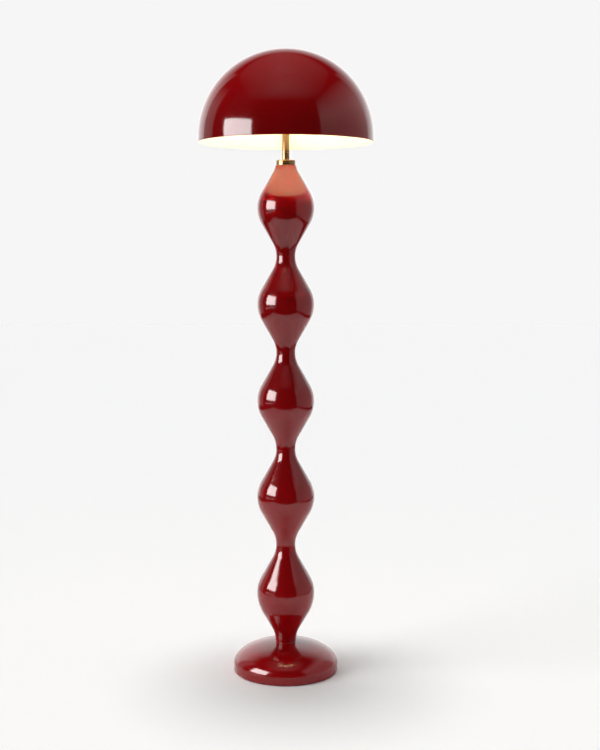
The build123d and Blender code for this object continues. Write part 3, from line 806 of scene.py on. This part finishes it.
# Bulb cap
# A shell drawn from brass sheet and thinly nickel plated. It is screwed into the lampholder's shell,
# which has scuffed it a little.
NICKEL_SCUFF = 3

# Scuffed nickel gives a pale, slightly yellow grey whose gloss varies from place to place.
nickel, tree, shader = surface("nickel-plated brass", {"Metallic": 1.0})
place = node(tree, "ShaderNodeTexCoord").outputs["Object"]
scuff = node(
    tree, "ShaderNodeTexNoise", {"Vector": place, "Scale": 1 / (NICKEL_SCUFF * MM), "Detail": 5.0}
).outputs[0]
tone = node(
    tree,
    "ShaderNodeMix",
    {0: scuff, 6: linear("#B9B5AC"), 7: linear("#D0CDC6")},
    data_type="RGBA",
)
gloss = node(tree, "ShaderNodeMapRange", {"Value": scuff, "To Min": 0.36, "To Max": 0.2})
tree.links.new(tone.outputs[2], shader.inputs["Base Color"])
tree.links.new(gloss.outputs[0], shader.inputs["Roughness"])
dress("bulb_cap", nickel)


# Bulb insulator
# A cone of black glass, fused into the end of the cap. It keeps the contact apart from the cap.
# Hardly any of it shows.
GLASS_STREAK = 2

# Fused glass gives a near black with a wet gloss, broken by streaks.
black_glass, tree, shader = surface("fused black glass", {"Specular IOR Level": 0.5})
place = node(tree, "ShaderNodeTexCoord").outputs["Object"]
streak = node(
    tree, "ShaderNodeTexNoise", {"Vector": place, "Scale": 1 / (GLASS_STREAK * MM), "Detail": 2.0}
).outputs[0]
tone = node(
    tree,
    "ShaderNodeMix",
    {0: streak, 6: linear("#0A0A0B"), 7: linear("#17171A")},
    data_type="RGBA",
)
gloss = node(tree, "ShaderNodeMapRange", {"Value": streak, "To Min": 0.08, "To Max": 0.22})
tree.links.new(tone.outputs[2], shader.inputs["Base Color"])
tree.links.new(gloss.outputs[0], shader.inputs["Roughness"])
dress("bulb_insulator", black_glass)


# Bulb contact
# A drop of soft solder on the end of the insulator, where it meets the lampholder's tongue. It is
# slightly lumpy.
SOLDER_LUMP = 1.5
SOLDER_RELIEF = 0.08

# Solder gives a dull grey metal with an uneven highlight.
solder, tree, shader = surface("soft solder", {"Metallic": 1.0})
place = node(tree, "ShaderNodeTexCoord").outputs["Object"]
lump = node(
    tree, "ShaderNodeTexNoise", {"Vector": place, "Scale": 1 / (SOLDER_LUMP * MM), "Detail": 3.0}
).outputs[0]
tone = node(
    tree,
    "ShaderNodeMix",
    {0: lump, 6: linear("#9C9C9F"), 7: linear("#BFBFC2")},
    data_type="RGBA",
)
gloss = node(tree, "ShaderNodeMapRange", {"Value": lump, "To Min": 0.5, "To Max": 0.3})
bump = node(tree, "ShaderNodeBump", {"Height": lump, "Distance": SOLDER_RELIEF * MM})
tree.links.new(tone.outputs[2], shader.inputs["Base Color"])
tree.links.new(gloss.outputs[0], shader.inputs["Roughness"])
tree.links.new(bump.outputs[0], shader.inputs["Normal"])
dress("bulb_contact", solder)


# Floor, light and camera
# A plain pale studio in metres: a white floor, soft light from above, left and right, and the
# photograph's point of view. The lit boards around the lamp are seen in reflections alone.
SWEEP_FRONT = -1.2
SWEEP_LEFT = -1.5
SWEEP_RIGHT = 1.5
SWEEP_BACK = 2.1
FLOOR_REACH = 14.0
FLOOR_WHITE = 0.935
BACKGROUND = 0.922
SKY_LIGHT = 0.1
DARK_STUDIO = 0.02
# A light is its strength, its spread in degrees and where it comes from
TOP_LIGHT = (1.95, 22.0, (-0.02, 0.09, 1.0))
KEY_LIGHT = (1.4, 40.0, (-0.8, -0.3, 0.52))
FILL_LIGHT = (0.75, 50.0, (0.95, -0.2, 0.06))
SOFTBOX_GLOW = 14.5
SOFTBOX_EDGE = [(-2.73, -2.93, 0.85), (-3.98, -0.42, 0.85), (-2.19, -0.23, 1.95), (-1.5, -1.61, 1.95)]
SKIRTING_GLOW = 4.0
SKIRTING_EDGE = [(-4.6, -4.8, 0.0), (-4.6, -0.2, 0.0), (-4.6, -0.2, 0.14), (-4.6, -4.8, 0.14)]
CEILING_HEIGHT = 3.2
# The ceiling's middle, and its rim from the right round the back: x, y and brightness
CEILING_MIDDLE = (-0.1, -1.2, 0.52)
CEILING_RIM = [(1.7, -1.2, 0.03), (1.2, 0.8, 0.07), (-0.1, 1.6, 0.15), (-1.4, 0.8, 0.07)]
CEILING_RIM += [(-1.9, -1.2, 0.03), (-1.4, -2.0, 0.0), (-0.1, -2.3, 0.0), (1.2, -2.0, 0.0)]
# A wall is its run over the floor, as x, y and brightness, and its levels, as height and share of that
RIGHT_WALL = ([(2.0, -2.07, 0.5), (2.0, 1.68, 0.5)], [(0.0, 1.0), (1.55, 1.0), (2.35, 1.4), (3.6, 0.1)])
LEFT_WALL = ([(-2.5, 2.1, 0.5), (-2.5, 0.72, 0.5)], [(0.0, 1.0), (2.6, 1.0), (3.6, 0.0)])
BACKDROP = (
    [(2.5, 2.1, 1.1), (2.5, 3.0, 1.3), (-2.5, 3.0, 1.6), (-2.5, 2.1, 1.5)],
    [(0.0, 1.0), (2.2, 1.0), (4.7, 0.14)],
)
CAMERA_DISTANCE = 3.0052
CAMERA_HEIGHT = 1.0309
CAMERA_TILT = 1.0
FOCAL_PIXELS = 1224.3
AXIS_ROW = 272.2
AXIS_COLUMN = 285.75
FRAME_ROWS = 750.0
FRAME_COLUMNS = 600.0
SENSOR = 36.0


def board(name, panels, finish):
    """A board made of four-cornered panels; a corner is x, y and z in metres, then its brightness."""
    corners = [corner for panel in panels for corner in panel]
    mesh = bpy.data.meshes.new(name)
    mesh.from_pydata([c[:3] for c in corners], [], [range(i, i + 4) for i in range(0, len(corners), 4)])
    mesh.attributes.new("glow", "FLOAT", "POINT").data.foreach_set("value", [c[3] for c in corners])
    mesh.materials.append(finish)
    made = bpy.data.objects.new(name, mesh)
    bpy.context.scene.collection.objects.link(made)
    return made


# Matt white paint gives the shadow a plain ground. It is clear from below, so that the lamp shows there.
floor_paint, tree, shader = surface(
    "matt white studio floor",
    {
        "Base Color": (FLOOR_WHITE, FLOOR_WHITE, FLOOR_WHITE, 1.0),
        "Roughness": 1.0,
        "Specular IOR Level": 0.0,
    },
)
underside = node(tree, "ShaderNodeNewGeometry").outputs["Backfacing"]
clear = node(tree, "ShaderNodeBsdfTransparent").outputs[0]
one_sided = node(tree, "ShaderNodeMixShader", {0: underside, 1: shader.outputs[0], 2: clear})
tree.links.new(one_sided.outputs[0], tree.nodes["Material Output"].inputs["Surface"])

# The lamp's gloss mirrors the sweep it stands on and the floor behind; the rest is there for the camera
floor_areas = {
    "floor": [
        (SWEEP_LEFT, SWEEP_FRONT, SWEEP_RIGHT, SWEEP_BACK),
        (-FLOOR_REACH, SWEEP_BACK, FLOOR_REACH, FLOOR_REACH),
    ],
    "floor_around": [
        (-FLOOR_REACH, -FLOOR_REACH, FLOOR_REACH, SWEEP_FRONT),
        (-FLOOR_REACH, SWEEP_FRONT, SWEEP_LEFT, SWEEP_BACK),
        (SWEEP_RIGHT, SWEEP_FRONT, FLOOR_REACH, SWEEP_BACK),
    ],
}
for name, areas in floor_areas.items():
    panels = [[(x, y, 0.0, 0.0) for x, y in ((a, c), (b, c), (b, d), (a, d))] for a, c, b, d in areas]
    floor = board(name, panels, floor_paint)
    floor.visible_glossy = name == "floor"
    floor.visible_diffuse = name == "floor"

# Lit boards give the gloss its windows and pale walls
lit_board, tree, shader = surface(
    "evenly lit studio board",
    {
        "Base Color": linear("#000000"),
        "Emission Color": linear("#FFFFFF"),
        "Specular IOR Level": 0.0,
    },
)
glow = node(tree, "ShaderNodeAttribute", attribute_name="glow")
tree.links.new(glow.outputs["Fac"], shader.inputs["Emission Strength"])

ceiling_ring = CEILING_RIM + CEILING_RIM[:1]
ceiling_fans = [[CEILING_MIDDLE, *ceiling_ring[i : i + 3]] for i in range(0, len(CEILING_RIM), 2)]
studio_boards = {
    "softbox": [[(*corner, SOFTBOX_GLOW) for corner in SOFTBOX_EDGE]],
    "lit_skirting": [[(*corner, SKIRTING_GLOW) for corner in SKIRTING_EDGE]],
    "ceiling": [[(x, y, CEILING_HEIGHT, glow) for x, y, glow in fan] for fan in ceiling_fans],
}
wall_runs = {"right_wall": RIGHT_WALL, "left_wall": LEFT_WALL, "backdrop": BACKDROP}
for name, (run, levels) in wall_runs.items():
    studio_boards[name] = [
        [(x, y, z, glow * share) for (x, y, glow), (z, share) in ((a, low), (b, low), (b, high), (a, high))]
        for a, b in zip(run, run[1:])
        for low, high in zip(levels, levels[1:])
    ]
for name, panels in studio_boards.items():
    made = board(name, panels, lit_board)
    made.visible_camera = False
    made.visible_diffuse = False
    made.visible_shadow = False

studio_lights = {"top_light": TOP_LIGHT, "key_light": KEY_LIGHT, "fill_light": FILL_LIGHT}
for name, (strength, spread, source) in studio_lights.items():
    sun_data = bpy.data.lights.new(name, "SUN")
    sun_data.energy = strength
    sun_data.angle = radians(spread)
    sun = bpy.data.objects.new(name, sun_data)
    sun.rotation_euler = Vector(source).to_track_quat("Z", "Y").to_euler()
    sun.visible_glossy = False
    bpy.context.scene.collection.objects.link(sun)

# The camera sees a pale background, the gloss a dark studio, and everything else a weak sky
world = bpy.data.worlds.new("studio")
bpy.context.scene.world = world
world.use_nodes = True
world.cycles.sampling_method = "NONE"
tree = world.node_tree
path = node(tree, "ShaderNodeLightPath").outputs
unlit = node(tree, "ShaderNodeMix", {0: path["Is Glossy Ray"], 2: SKY_LIGHT, 3: DARK_STUDIO})
seen = node(tree, "ShaderNodeMix", {0: path["Is Camera Ray"], 2: unlit.outputs[0], 3: BACKGROUND})
tree.nodes["Background"].inputs["Color"].default_value = linear("#FFFFFF")
tree.links.new(seen.outputs[0], tree.nodes["Background"].inputs["Strength"])

camera_data = bpy.data.cameras.new("camera")
camera_data.sensor_width = SENSOR
camera_data.lens = FOCAL_PIXELS / FRAME_ROWS * SENSOR
camera_data.shift_y = -(FRAME_ROWS / 2 - AXIS_ROW) / FRAME_ROWS
camera_data.shift_x = (FRAME_COLUMNS / 2 - AXIS_COLUMN) / FRAME_ROWS
camera = bpy.data.objects.new("camera", camera_data)
camera.location = (0, -CAMERA_DISTANCE, CAMERA_HEIGHT)
camera.rotation_euler = (radians(90 - CAMERA_TILT), 0, 0)
bpy.context.scene.collection.objects.link(camera)
bpy.context.scene.camera = camera
bpy.context.scene.view_settings.view_transform = "Standard"
